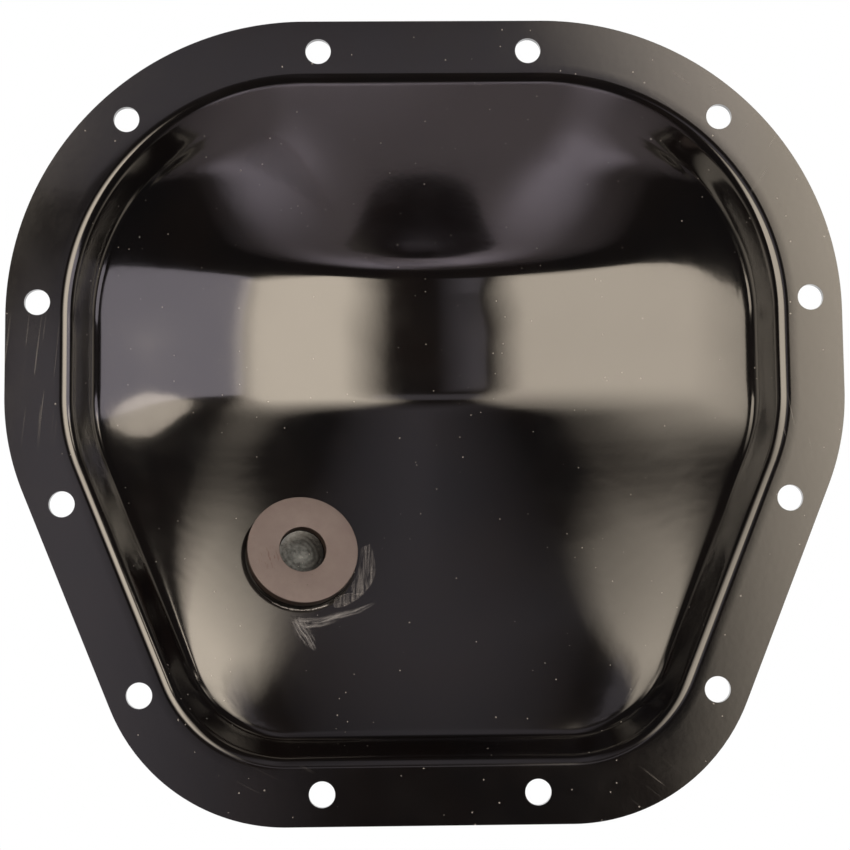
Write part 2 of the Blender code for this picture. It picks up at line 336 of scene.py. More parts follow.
def pressing_tree():
    """Sinks each point of the blank to the depth that the dies give it."""
    tree, given, result = tree_with_sizes("pressing", PRESS_SIZES)
    size = given.outputs
    calculate = calculator(tree)
    place = tree.nodes.new("ShaderNodeSeparateXYZ")
    tree.links.new(tree.nodes.new("GeometryNodeInputPosition").outputs[0], place.inputs[0])
    x, z = place.outputs["X"], place.outputs["Z"]
    inset = named_attribute(tree, "inset")
    half_width = named_attribute(tree, "floor_half_width")

    above = calculate("SUBTRACT", z, size["Top Centre"])
    away = calculate(
        "SQRT",
        calculate("ADD", calculate("MULTIPLY", x, x), calculate("MULTIPLY", above, above)),
    )
    upward = calculate("DIVIDE", above, calculate("MAXIMUM", away, TINY))
    towards_top = tree.nodes.new("ShaderNodeMapRange")
    towards_top.interpolation_type = "SMOOTHSTEP"
    ends = {"From Min": size["Top Start"], "From Max": size["Top End"]}
    set_inputs(tree, towards_top, {"Value": upward, **ends})

    def size_towards_top(name):
        change = calculate("SUBTRACT", size["Top " + name], size[name])
        return calculate("MULTIPLY_ADD", towards_top.outputs[0], change, size[name])

    wall_angle = size_towards_top("Wall Angle")
    floor_depth = size_towards_top("Floor Depth")
    bend_reach = calculate("MULTIPLY", size["Flange Bend"], calculate("SINE", wall_angle))
    past_flange = calculate("MAXIMUM", calculate("SUBTRACT", inset, size["Flange Width"]), 0.0)
    on_bend = calculate("MINIMUM", past_flange, bend_reach)
    root = calculate(
        "SQRT",
        calculate(
            "SUBTRACT",
            calculate("POWER", size["Flange Bend"], 2.0),
            calculate("POWER", on_bend, 2.0),
        ),
    )
    bend_depth = calculate("SUBTRACT", size["Flange Bend"], root)
    past_bend = calculate("SUBTRACT", past_flange, on_bend)
    wall_depth = calculate("MULTIPLY", past_bend, calculate("TANGENT", wall_angle))
    step_depth = calculate("ADD", bend_depth, wall_depth)

    rise = calculate("SUBTRACT", size["Crown Depth"], floor_depth)
    lower_run = calculate("SUBTRACT", size["Crown Bottom"], size["Floor Bottom"])
    upper_run = calculate("SUBTRACT", size["Floor Top"], size["Crown Top"])
    up = calculate("DIVIDE", calculate("SUBTRACT", z, size["Floor Bottom"]), lower_run)
    down = calculate("DIVIDE", calculate("SUBTRACT", size["Floor Top"], z), upper_run)
    bulge = calculate("MULTIPLY", down, calculate("SUBTRACT", 1.0, down))
    bow = calculate("MULTIPLY", calculate("MULTIPLY", size["Upper Bow"], 4.0), bulge)
    upper_slope = calculate("ADD", calculate("MULTIPLY", rise, down), bow)
    lower_slope = calculate("MULTIPLY", rise, up)
    middle = calculate("SMOOTH_MIN", lower_slope, rise, size["Lower Crease"])
    middle = calculate("SMOOTH_MIN", middle, upper_slope, size["Upper Crease"])

    down_share = calculate("MAXIMUM", calculate("DIVIDE", middle, rise), TINY)
    fall = calculate("POWER", calculate("ABSOLUTE", calculate("DIVIDE", x, half_width)), 2.0)
    side_share = calculate("MAXIMUM", calculate("SUBTRACT", 1.0, fall), TINY)
    against = calculate("MULTIPLY", size["Corner Fullness"], -1.0)
    both = calculate("ADD", calculate("POWER", down_share, against), -1.0)
    both = calculate("ADD", both, calculate("POWER", side_share, against))
    share = calculate("POWER", both, calculate("DIVIDE", 1.0, against))
    dome_depth = calculate("ADD", floor_depth, calculate("MULTIPLY", rise, share))

    depth = calculate("SMOOTH_MIN", step_depth, dome_depth, size["Fillet"])
    on_flange = calculate("LESS_THAN", inset, size["Flange Width"])
    depth = calculate("MULTIPLY", depth, calculate("SUBTRACT", 1.0, on_flange))
    sunk = tree.nodes.new("ShaderNodeCombineXYZ")
    tree.links.new(depth, sunk.inputs["Y"])
    press = tree.nodes.new("GeometryNodeSetPosition")
    set_inputs(tree, press, {"Geometry": size["Geometry"], "Offset": sunk.outputs[0]})
    finish_tree(tree, press.outputs[0], size["Material"], result)
    return tree


def add_tree(target, tree, values):
    """Geometry Nodes modifier on an object, with its named inputs set."""
    modifier = target.modifiers.new(tree.name, "NODES")
    modifier.node_group = tree
    for socket in tree.interface.items_tree:
        if socket.in_out == "INPUT" and socket.name in values:
            modifier[socket.identifier] = values[socket.name]


# Black paint: gloss enamel, dipped or sprayed on and baked, with a faint orange peel. It has
# fine dust in it, soft smudges from handling, and hair scratches where the flange was touched.

PAINT_COLOURS = (0.0030, 0.0026, 0.0031), (0.0050, 0.0036, 0.0034)
DUST_COLOUR = (0.27, 0.26, 0.25)
SCRATCH_COLOUR = (0.12, 0.115, 0.11)
SCRATCH_DRAW = (1.0, 1.0, 0.025)
SCRATCHED_PLACES = (
    ((-0.158, 0.0, 0.016), 0.030, -0.1),
    ((-0.061, 0.0, -0.139), 0.016, 1.1),
    ((0.109, 0.0, 0.132), 0.018, 0.9),
    ((0.137, 0.0, 0.107), 0.022, -0.6),
    ((0.146, 0.0, -0.007), 0.018, 0.2),
    ((0.092, 0.0, -0.149), 0.014, 0.9),
)


def noise(tree, vector, scale, detail=2.0, roughness=0.5):
    """Noise texture over a vector. Returns its value."""
    node = tree.nodes.new("ShaderNodeTexNoise")
    grain = {"Scale": scale, "Detail": detail, "Roughness": roughness}
    set_inputs(tree, node, {"Vector": vector, **grain})
    return node.outputs[0]


def remap(tree, value, from_low, from_high, to_low, to_high):
    """Map Range node that clamps. Returns its result."""
    node = tree.nodes.new("ShaderNodeMapRange")
    ends = {"From Min": from_low, "From Max": from_high, "To Min": to_low, "To Max": to_high}
    set_inputs(tree, node, {"Value": value, **ends})
    return node.outputs[0]


def vector_math(tree, operation, *values):
    """Vector math node over sockets or vectors. Returns its result, a value or a vector."""
    node = tree.nodes.new("ShaderNodeVectorMath")
    node.operation = operation
    set_inputs(tree, node, dict(enumerate(values)))
    return node.outputs["Value" if operation in ("LENGTH", "DOT_PRODUCT") else "Vector"]


def dust_group():
    """Mask of tiny dust specks scattered over a surface."""
    inputs = [("Vector", "Vector", None)]
    inputs += [(size, "Float", None) for size in ("Specks Per Metre", "Speck Size", "Share")]
    group, given, result = new_group("dust_specks", "ShaderNodeTree", inputs, [("Mask", "Float")])
    given = given.outputs
    calculate = calculator(group)
    cells = group.nodes.new("ShaderNodeTexVoronoi")
    set_inputs(group, cells, {"Vector": given["Vector"], "Scale": given["Specks Per Metre"]})
    tone = group.nodes.new("ShaderNodeSeparateColor")
    group.links.new(cells.outputs["Color"], tone.inputs[0])
    small = calculate("MULTIPLY", given["Speck Size"], tone.outputs[1])
    near = calculate("LESS_THAN", cells.outputs["Distance"], small)
    chosen = calculate("LESS_THAN", tone.outputs[0], given["Share"])
    group.links.new(calculate("MULTIPLY", near, chosen), result.inputs["Mask"])
    return group


def scratch_group():
    """Mask of fine parallel hair scratches round a place, turned to one direction."""
    inputs = [
        ("Vector", "Vector", None),
        ("Place", "Vector", None),
        ("Reach", "Float", None),
        ("Turn", "Float", None),
        ("Scratches Per Metre", "Float", 900.0),
        ("Bareness", "Float", 0.66),
    ]
    group, given, result = new_group("hair_scratches", "ShaderNodeTree", inputs, [("Mask", "Float")])
    given = given.outputs
    calculate = calculator(group)
    offset = vector_math(group, "SUBTRACT", given["Vector"], given["Place"])
    turned = group.nodes.new("ShaderNodeVectorRotate")
    turned.rotation_type = "Y_AXIS"
    set_inputs(group, turned, {"Vector": offset, "Angle": given["Turn"]})
    drawn = vector_math(group, "MULTIPLY", turned.outputs[0], SCRATCH_DRAW)
    lines = noise(group, drawn, given["Scratches Per Metre"], 1.0)
    closeness = calculate("DIVIDE", vector_math(group, "LENGTH", offset), given["Reach"])
    fade = remap(group, closeness, 0.3, 1.0, 1.0, 0.0)
    excess = calculate("SUBTRACT", lines, given["Bareness"])
    mask = calculate("MULTIPLY", remap(group, excess, 0.0, 0.04, 0.0, 1.0), fade)
    group.links.new(mask, result.inputs["Mask"])
    return group


def place_group(tree, group, vector, values):
    """Places a group in a material with its own values. Returns its first result."""
    node = tree.nodes.new("ShaderNodeGroup")
    node.node_tree = group
    set_inputs(tree, node, {"Vector": vector, **values})
    return node.outputs[0]


def new_material(name):
    """Material with its shader, the object's own coordinates and a function for math nodes."""
    material = bpy.data.materials.new(name)
    material.use_nodes = True
    tree = material.node_tree
    at = tree.nodes.new("ShaderNodeTexCoord").outputs["Object"]
    return material, tree, tree.nodes["Principled BSDF"], at, calculator(tree)


def blend_colours(tree, mask, plain, marked):
    """Colour that goes from one to another with a mask."""
    node = tree.nodes.new("ShaderNodeMix")
    node.data_type = "RGBA"
    set_inputs(tree, node, {"Factor": mask, 6: plain, 7: marked})
    return node.outputs[2]


def add_bump(tree, shader, height, strength, distance):
    """Bump from a height, on a shader's normal."""
    bump = tree.nodes.new("ShaderNodeBump")
    set_inputs(tree, bump, {"Height": height, "Strength": strength, "Distance": distance})
    tree.links.new(bump.outputs[0], shader.inputs["Normal"])


DUST = dust_group()
HAIR_SCRATCHES = scratch_group()


def black_paint():
    """Gloss black enamel with orange peel, smudges, dust and hair scratches."""
    material, tree, shader, at, calculate = new_material("gloss_black_paint")
    clouds = remap(tree, noise(tree, at, 22.0, 4.0), 0.35, 0.7, 0.0, 1.0)
    base = blend_colours(tree, clouds, *PAINT_COLOURS)
    specks = place_group(tree, DUST, at, {"Specks Per Metre": 260.0, "Speck Size": 0.09, "Share": 0.6})
    scratches = None
    for place, reach, turn in SCRATCHED_PLACES:
        values = {"Place": place, "Reach": reach, "Turn": turn}
        mask = place_group(tree, HAIR_SCRATCHES, at, values)
        scratches = mask if scratches is None else calculate("MAXIMUM", scratches, mask)
    place = tree.nodes.new("ShaderNodeSeparateXYZ")
    tree.links.new(at, place.inputs[0])
    on_flange = remap(tree, place.outputs["Y"], 0.0002, 0.0005, 1.0, 0.0)
    scratches = calculate("MULTIPLY", scratches, on_flange)
    body = blend_colours(tree, calculate("MULTIPLY", specks, 0.8), base, DUST_COLOUR)
    body = blend_colours(tree, calculate("MULTIPLY", scratches, 0.35), body, SCRATCH_COLOUR)
    roughness = remap(tree, noise(tree, at, 55.0, 5.0, 0.6), 0.4, 0.75, 0.11, 0.17)
    roughness = calculate("MULTIPLY_ADD", scratches, 0.2, roughness)
    roughness = calculate("MULTIPLY_ADD", specks, 0.3, roughness)
    coat = {"Coat Weight": 1.0, "Coat Roughness": 0.07}
    set_inputs(tree, shader, {"Base Color": body, "Roughness": roughness, **coat})
    fine_peel, broad_peel = noise(tree, at, 420.0, 1.0), noise(tree, at, 90.0, 1.0)
    add_bump(tree, shader, calculate("MULTIPLY_ADD", broad_peel, 1.5, fine_peel), 0.03, 0.0004)
    return material


BLACK_PAINT = black_paint()


# Bolt holes: twelve clearance holes for 3/8 inch screws, punched through the flange. A punch of
# one shape is repeated at the holes' places and taken out of the sheet.

SHEET = 0.0025
BOLT_HOLE = 0.0103
BOLT_EDGE_DISTANCE = 0.0125
BOLT_BEARINGS = [math.radians(degrees) for degrees in (-74.1, -43.9, -13.3, 16.7, 45.2, 74.0)]
HOLE_SIDES = 64
PUNCH_LENGTH = 6 * SHEET


def bolt_centres():
    """Centres of the bolt holes on the flange."""
    centres = []
    for bearing in BOLT_BEARINGS:

        def bearing_at(distance):
            point = rim_point(distance, BOLT_EDGE_DISTANCE)
            return math.atan2(point.z, point.x)

        right = rim_point(rim_distance(bearing, bearing_at), BOLT_EDGE_DISTANCE)
        centres += [right, Vector((-right.x, 0.0, right.z))]
    return centres


def punching_tree():
    """Sets one punch on each point of a mesh."""
    sizes = {"Hole Diameter": BOLT_HOLE, "Punch Length": PUNCH_LENGTH}
    tree, given, result = tree_with_sizes("bolt_hole_punches", sizes)
    given = given.outputs
    radius = calculator(tree)("MULTIPLY", given["Hole Diameter"], 0.5)
    punch = tree.nodes.new("GeometryNodeMeshCylinder")
    form = {"Vertices": HOLE_SIDES, "Radius": radius, "Depth": given["Punch Length"]}
    set_inputs(tree, punch, form)
    repeat = tree.nodes.new("GeometryNodeInstanceOnPoints")
    places = {"Points": given["Geometry"], "Rotation": (math.pi / 2, 0.0, 0.0)}
    set_inputs(tree, repeat, {"Instance": punch.outputs["Mesh"], **places})
    finish_tree(tree, repeat.outputs[0], given["Material"], result)
    return tree


def plain_copy(name, source):
    """New object with the mesh that an object's modifiers make of it."""
    evaluated = source.evaluated_get(bpy.context.evaluated_depsgraph_get())
    data = bpy.data.meshes.new_from_object(evaluated)
    data.name = name
    return add_object(name, data)


hole_places = bpy.data.meshes.new("bolt_hole_places")
hole_places.from_pydata(bolt_centres(), [], [])
punches = add_object("bolt_hole_punches", hole_places)
add_tree(punches, punching_tree(), {"Hole Diameter": BOLT_HOLE, "Material": BLACK_PAINT})
cutters = plain_copy("punch_cutters", punches)


# The pan itself: the pressed sheet gets its thickness on the outside, the holes are punched,
# and the sheared edges are broken by a hair. It replaces the plain solid of the cover.

EDGE_BREAK = 0.00025
SHARP_ANGLE = math.radians(50)

add_tree(blank, pressing_tree(), {**PRESS_SIZES, "Material": BLACK_PAINT})
pressed = plain_copy("pressed_sheet", blank)
pressed.data.materials.clear()
pressed.data.materials.append(BLACK_PAINT)
skin = BVHTree.FromObject(pressed, bpy.context.evaluated_depsgraph_get())

wall = pressed.modifiers.new("sheet_thickness", "SOLIDIFY")
wall.thickness = SHEET
wall.offset = -1.0
wall.use_even_offset = True
holes = pressed.modifiers.new("bolt_holes", "BOOLEAN")
holes.operation = "DIFFERENCE"
holes.solver = "EXACT"
holes.object = cutters
edges = pressed.modifiers.new("broken_edges", "BEVEL")
edges.width = EDGE_BREAK
edges.segments = 2
edges.limit_method = "ANGLE"
edges.angle_limit = SHARP_ANGLE
edges.harden_normals = True
pressed.data.shade_smooth()

pan = plain_copy("pan", pressed)
for used_up in (blank, punches, cutters, pressed):
    bpy.data.objects.remove(used_up)
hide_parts("cover")
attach(pan, "root")


# Ring magnet: pressed and sintered ferrite, ground on its flat faces and dull brown grey. It sits
# square on the lower left slope of the dome and gathers steel dust from the oil.

MAGNET_DIAMETER = 0.0465
MAGNET_BORE = 0.0195
MAGNET_THICKNESS = 0.005
MAGNET_EDGE = 0.0004
MAGNET_X = -0.0528
MAGNET_Z = -0.0549
ADHESIVE_BED = 0.0012
MAGNET_SIDES = 160
RIM_SAMPLES = 72
SETTLING_STEPS = 8
BEFORE_SKIN = -0.05
FERRITE_COLOURS = (0.140, 0.113, 0.112), (0.163, 0.135, 0.132)
FERRITE_SMEAR = (0.135, 0.104, 0.105)
FERRITE_PORE = (0.07, 0.045, 0.04)
FERRITE_RUB = (0.08, 0.022, 0.012)
FERRITE_SIDE = (0.022, 0.013, 0.010)


def skin_depth(x, z):
    """Depth of the pan's inner skin behind its sealing face."""
    hit, _, _, _ = skin.ray_cast(Vector((x, BEFORE_SKIN, z)), Vector((0.0, 1.0, 0.0)))
    return hit.y


def seat_frame():
    """Place of the magnet's seat: local Z stands square on the dome, towards the opening."""
    step = MAGNET_BORE / 2
    across = skin_depth(MAGNET_X + step, MAGNET_Z) - skin_depth(MAGNET_X - step, MAGNET_Z)
    upward = skin_depth(MAGNET_X, MAGNET_Z + step) - skin_depth(MAGNET_X, MAGNET_Z - step)
    normal = Vector((across, -2 * step, upward)).normalized()
    right = Vector((1.0, 0.0, 0.0))
    right = (right - normal * right.dot(normal)).normalized()
    up = normal.cross(right)
    turn = Matrix((right, up, normal)).transposed().to_4x4()
    point = Vector((MAGNET_X, skin_depth(MAGNET_X, MAGNET_Z), MAGNET_Z))
    return Matrix.Translation(point) @ turn


SEAT = seat_frame()


def height_over_seat(x, y):
    """Height of the pan's skin over the seat's plane, at a point of that plane."""
    height = 0.0
    for _ in range(SETTLING_STEPS):
        point = SEAT @ Vector((x, y, height))
        height += point.y - skin_depth(point.x, point.z)
    return height


def turned(profile, closed, sides=MAGNET_SIDES):
    """Mesh turned about an upright axis from a list of radius and height pairs."""
    mesh = bmesh.new()
    rings = []
    for radius, height in profile:
        ring = []
        for side in range(sides):
            angle = 2 * math.pi * side / sides
            ring.append(mesh.verts.new((radius * math.cos(angle), radius * math.sin(angle), height)))
        rings.append(ring)
    for ring, outer in zip(rings, rings[1:] + rings[:1] if closed else rings[1:]):
        for side in range(sides):
            after = (side + 1) % sides
            mesh.faces.new((ring[side], ring[after], outer[after], outer[side]))
    return mesh


def add_piece(name, mesh, material):
    """Object of a finished bmesh whose faces point out, with its place in its mesh."""
    bmesh.ops.recalc_face_normals(mesh, faces=mesh.faces)
    piece = add_mesh(name, mesh)
    piece.data.materials.append(material)
    piece.data.shade_smooth()
    piece.data.set_sharp_from_angle(angle=SHARP_ANGLE)
    return piece


RIM_HEIGHTS = [
    height_over_seat(MAGNET_DIAMETER / 2 * math.cos(angle), MAGNET_DIAMETER / 2 * math.sin(angle))
    for angle in spread(0.0, 2 * math.pi, RIM_SAMPLES)
]
MAGNET_BASE = max(RIM_HEIGHTS) + ADHESIVE_BED
MAGNET_FACE = MAGNET_BASE + MAGNET_THICKNESS


def ferrite():
    """Ferrite with a ground brown grey face, dark sides, rubbed reddish hairlines and pores."""
    material, tree, shader, at, calculate = new_material("sintered_ferrite")
    mottle = remap(tree, noise(tree, at, 160.0, 6.0, 0.65), 0.3, 0.7, 0.0, 1.0)
    body = blend_colours(tree, mottle, *FERRITE_COLOURS)
    smears = remap(tree, noise(tree, at, 45.0, 3.0), 0.52, 0.72, 0.0, 0.6)
    body = blend_colours(tree, smears, body, FERRITE_SMEAR)
    pores = {"Specks Per Metre": 420.0, "Speck Size": 0.12, "Share": 0.35}
    pores = calculate("MULTIPLY", place_group(tree, DUST, at, pores), 0.45)
    body = blend_colours(tree, pores, body, FERRITE_PORE)
    rub = {"Place": (-0.0655, 0.034, -0.0575), "Reach": 0.0075, "Turn": 0.12, "Bareness": 0.57}
    rub = calculate("MULTIPLY", place_group(tree, HAIR_SCRATCHES, at, rub), 0.9)
    body = blend_colours(tree, rub, body, FERRITE_RUB)
    square = SEAT.col[2].xyz
    face = square.dot(SEAT.translation) + MAGNET_FACE
    near_face = (face - 0.7 * MAGNET_EDGE, face - 0.2 * MAGNET_EDGE)
    ground = remap(tree, vector_math(tree, "DOT_PRODUCT", at, square), *near_face, 0.0, 1.0)
    body = blend_colours(tree, ground, FERRITE_SIDE, body)
    gloss = {"Roughness": 0.62, "Specular IOR Level": 0.35}
    set_inputs(tree, shader, {"Base Color": body, **gloss})
    add_bump(tree, shader, noise(tree, at, 1500.0, 3.0), 0.25, 0.0002)
    return material


def magnet_mesh():
    """Ring turned from its section, with every edge rounded by narrow faces."""
    bore, outside = MAGNET_BORE / 2, MAGNET_DIAMETER / 2
    near = MAGNET_EDGE * (1 - math.sqrt(0.5))
    section = []
    for radius, into, heights in (
        (bore, 1, (MAGNET_BASE, MAGNET_FACE)),
        (outside, -1, (MAGNET_FACE, MAGNET_BASE)),
    ):
        inner = [(MAGNET_EDGE, 0.0), (near, near), (0.0, MAGNET_EDGE)]
        for end, height in enumerate(heights):
            towards = 1 if height == MAGNET_BASE else -1
            steps = inner if end == 0 else inner[::-1]
            section += [(radius + into * a, height + towards * b) for a, b in steps]
    return turned(section, True)


magnet = add_piece("ring_magnet", magnet_mesh(), ferrite())
magnet.data.transform(SEAT)
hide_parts("magnet")
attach(magnet, "root")


# Adhesive: clear cement under the magnet, with a thin dark lip round it. In the bore it has set as
# a cloudy grey plug that has crept up the wall on one side and kept the swirl of the nozzle. The
# plug's grey also holds painted shade, darker towards one side, and a painted highlight, a paler
# arc along its crept edge.

PLUG_HEIGHT = 0.0012
PLUG_RINGS = 40
ADHESIVE_LIP = 0.0004
CLEARANCE = 0.0003
SWIRL_TURNS = 5.0
CREEP_BEARING = math.radians(130)
# Bearing towards which the plug's grey is taken away: painted shade.
PLUG_SHADE_BEARING = math.radians(30)
# Dark of clear cement over black paint, also used as painted shade on one side of the plug.
CLEAR_AND_SHADE_COLOUR = (0.006, 0.0055, 0.005)
# Grey of cloudy cement, also used as a painted highlight along the plug's crept edge.
CLOUDY_AND_HIGHLIGHT_COLOUR = (0.122, 0.132, 0.136)
BUBBLE_COLOUR = (0.36, 0.36, 0.35)


def plug_top(x, y):
    """Height of the plug over the magnet's base, and its share of cloudy grey: swirled streaks, a
    pale bump near the middle, darker towards one side as painted shade, and crept up the wall at
    another, with a painted highlight along that crept edge."""
    radius = math.hypot(x, y) / (MAGNET_BORE / 2)
    angle = math.atan2(y, x)
    towards_creep = 0.5 + 0.5 * math.cos(angle - CREEP_BEARING)
    swirl = math.sin(2 * math.pi * SWIRL_TURNS * radius - angle) * math.sin(math.pi * min(radius, 1.0))
    bump = math.exp(-((x + 0.0008) ** 2 + (y + 0.0012) ** 2) / 0.0009 ** 2)
    creep = towards_creep ** 2 * radius ** 5
    height = 0.25 + 0.012 * swirl + 0.30 * bump + 0.08 * radius ** 4 + 0.8 * creep
    turns = SWIRL_TURNS * radius * (1 + 0.12 * math.sin(2 * angle))
    streaks = 0.5 + 0.5 * math.sin(2 * math.pi * turns - angle)
    pale = math.exp(-((x / 0.0035) ** 2 + ((y + 0.0018) / 0.003) ** 2))
    # Painted shade: the plug's grey is taken away towards one side.
    clear = radius * (0.5 + 0.5 * math.cos(angle - PLUG_SHADE_BEARING))
    # Painted highlight: the crept edge of the plug is made paler.
    rim = towards_creep ** 3 * radius ** 9
    cloud_and_painted_light = 0.50 + 0.18 * streaks + 0.45 * pale + 2.2 * rim - 0.85 * clear
    return PLUG_HEIGHT * height, max(0.0, cloud_and_painted_light)


def adhesive_mesh():
    """Bed, lip and plug as one body, with its underside on the dome's skin."""
    plug = MAGNET_BORE / 2 - CLEARANCE
    outside = MAGNET_DIAMETER / 2
    lip = outside + ADHESIVE_LIP
    profile = [(plug * ring / PLUG_RINGS, None) for ring in range(1, PLUG_RINGS + 1)]
    profile += [(plug, MAGNET_BASE - CLEARANCE), (outside, MAGNET_BASE - CLEARANCE)]
    profile += [(outside + ADHESIVE_LIP / 2, MAGNET_BASE - 2 * CLEARANCE), (lip, "under")]
    profile += [(outside * share, "under") for share in (0.9, 0.6, 0.3)]
    mesh = turned([(radius, 0.0) for radius, _ in profile], False)
    cloud_and_painted_light = mesh.verts.layers.float.new("cloud_and_painted_light")
    mesh.verts.ensure_lookup_table()
    for ring, (_, height) in enumerate(profile):
        for vertex in mesh.verts[ring * MAGNET_SIDES:(ring + 1) * MAGNET_SIDES]:
            x, y = vertex.co.x, vertex.co.y
            if height is None:
                rise, vertex[cloud_and_painted_light] = plug_top(x, y)
                vertex.co.z = MAGNET_BASE + rise
            elif height == "under":
                vertex.co.z = height_over_seat(x, y) + CLEARANCE
            else:
                vertex.co.z = height
    mesh.faces.new(mesh.verts[:MAGNET_SIDES])
    mesh.faces.new(mesh.verts[-MAGNET_SIDES:])
    return mesh


def attribute(tree, name):
    """Attribute node that reads a named layer of the mesh."""
    node = tree.nodes.new("ShaderNodeAttribute")
    node.attribute_name = name
    return node


def set_cement_with_painted_light():
    """Cured clear cement over black paint: cloudy grey in the bore and dark where it is thin. Its
    grey and dark also carry painted shade on one side of the plug and a painted highlight along
    its crept edge.
    """
    material, tree, shader, at, calculate = new_material("set_cement_with_painted_light")
    cloud_and_painted_light = attribute(tree, "cloud_and_painted_light").outputs["Fac"]
    lumps = remap(tree, noise(tree, at, 420.0, 5.0, 0.65), 0.34, 0.62, 0.35, 1.5)
    body = blend_colours(tree, calculate("MULTIPLY", cloud_and_painted_light, lumps), CLEAR_AND_SHADE_COLOUR, CLOUDY_AND_HIGHLIGHT_COLOUR)
    bubbles = {"Specks Per Metre": 1100.0, "Speck Size": 0.22, "Share": 0.22}
    bubbles = place_group(tree, DUST, at, bubbles)
    bubbles = calculate("MULTIPLY", bubbles, remap(tree, cloud_and_painted_light, 0.1, 0.5, 0.0, 0.7))
    body = blend_colours(tree, bubbles, body, BUBBLE_COLOUR)
    gloss = {"Roughness": 0.24, "Specular IOR Level": 0.25}
    set_inputs(tree, shader, {"Base Color": body, **gloss})
    add_bump(tree, shader, noise(tree, at, 800.0, 4.0), 0.22, 0.0004)
    return material


adhesive = add_piece("adhesive_bed", adhesive_mesh(), set_cement_with_painted_light())
adhesive.data.transform(SEAT)
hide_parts("magnet_adhesive")
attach(adhesive, "root")


# Adhesive films: cement that ran out beside the magnet was dragged over the paint and has dried
# to thin clear flakes with lifted, whitish edges and brushed smears. A whitish strip along the
# lower edge of the bed, laid with the flakes, is a painted highlight. Points are across and up.

FILM_THICKNESS = 0.00012
FILM_LIFT = 0.00008
FILM_SPACING = 0.0012
FILM_SPLITS = 4
FLAKE_EDGE = 0.0003
BRUSH_DRAW = 0.07
FLAKES = (
    (
        (-0.0271, -0.0522), (-0.0239, -0.0507), (-0.0226, -0.0535), (-0.0217, -0.0576), (-0.0212, -0.0608),
        (-0.0216, -0.0638), (-0.0228, -0.0668), (-0.0246, -0.0694), (-0.0272, -0.0722), (-0.0301, -0.0717),
        (-0.0321, -0.0685), (-0.0303, -0.0661), (-0.0291, -0.0631), (-0.0283, -0.0601), (-0.0283, -0.0571),
    ),
    (
        (-0.0383, -0.0726), (-0.0351, -0.0717), (-0.0320, -0.0710), (-0.0272, -0.0713), (-0.0277, -0.0726),
        (-0.0287, -0.0735), (-0.0338, -0.0763), (-0.0376, -0.0770), (-0.0392, -0.0763),
    ),
)
# Reach and widths of the painted highlight strip along the lower edge of the bed.
HIGHLIGHT_LINE_REACH = 0.0243
HIGHLIGHT_LINE_WIDTHS = (
    (-118, 0.0002), (-108, 0.0004), (-98, 0.0006), (-88, 0.0003), (-78, 0.0004), (-68, 0.0007),
    (-60, 0.0003),
)
STREAK = (
    (-0.0218, -0.0749, 0.0016), (-0.0287, -0.0783, 0.0026), (-0.0367, -0.0806, 0.0038),
    (-0.0446, -0.0830, 0.0046), (-0.0501, -0.0833, 0.0050), (-0.0565, -0.0814, 0.0036),
)
DAB = (
    (-0.0545, -0.0808, 0.0050), (-0.0521, -0.0854, 0.0068), (-0.0490, -0.0894, 0.0064),
    (-0.0462, -0.0941, 0.0016),
)


def painted_highlight_line():
    """Places and widths of a whitish strip along the lower edge of the bed: a painted highlight
    of the bed's bright edge.
    """
    line = []
    for degrees, width in HIGHLIGHT_LINE_WIDTHS:
        angle = math.radians(degrees)
        place = SEAT @ Vector((HIGHLIGHT_LINE_REACH * math.cos(angle), HIGHLIGHT_LINE_REACH * math.sin(angle), 0.0))
        line.append((place.x, place.z, width))
    return line


def add_strip(mesh, layers, line, solid):
    """Adds a strip of film along a line of places with widths. One that isn't solid fades out."""
    edge_mark, brushed = layers
    rows = []
    length = 0.0
    for step, (x, z, width) in enumerate(line):
        before, after = line[max(step - 1, 0)], line[min(step + 1, len(line) - 1)]
        along = Vector((after[0] - before[0], after[1] - before[1])).normalized()
        length += math.dist((x, z), before[:2])
        row = []
        for side in (-0.5, 0.0, 0.5):
            vertex = mesh.verts.new((x - side * width * along.y, 0.0, z + side * width * along.x))
            vertex[edge_mark] = 1.0 if solid or side or step in (0, len(line) - 1) else 0.0
            vertex[brushed] = (BRUSH_DRAW * length, side * width, 0.0)
            row.append(vertex)
        rows.append(row)
    for row, following in zip(rows, rows[1:]):
        for side in (0, 1):
            mesh.faces.new((row[side], row[side + 1], following[side + 1], following[side]))


def add_flake(mesh, layers, outline):
    """Adds a flake with an outline of points, and marks its edge."""
    edge_mark, brushed = layers
    rim = [mesh.verts.new((x, 0.0, z)) for x, z in outline]
    face = mesh.faces.new(rim)
    bmesh.ops.inset_individual(mesh, faces=[face], thickness=FLAKE_EDGE, use_even_offset=True)
    for vertex in rim + list(face.verts):
        vertex[edge_mark] = 1.0 if vertex in rim else 0.0
        vertex[brushed] = (vertex.co.x, BRUSH_DRAW * vertex.co.z, 0.0)


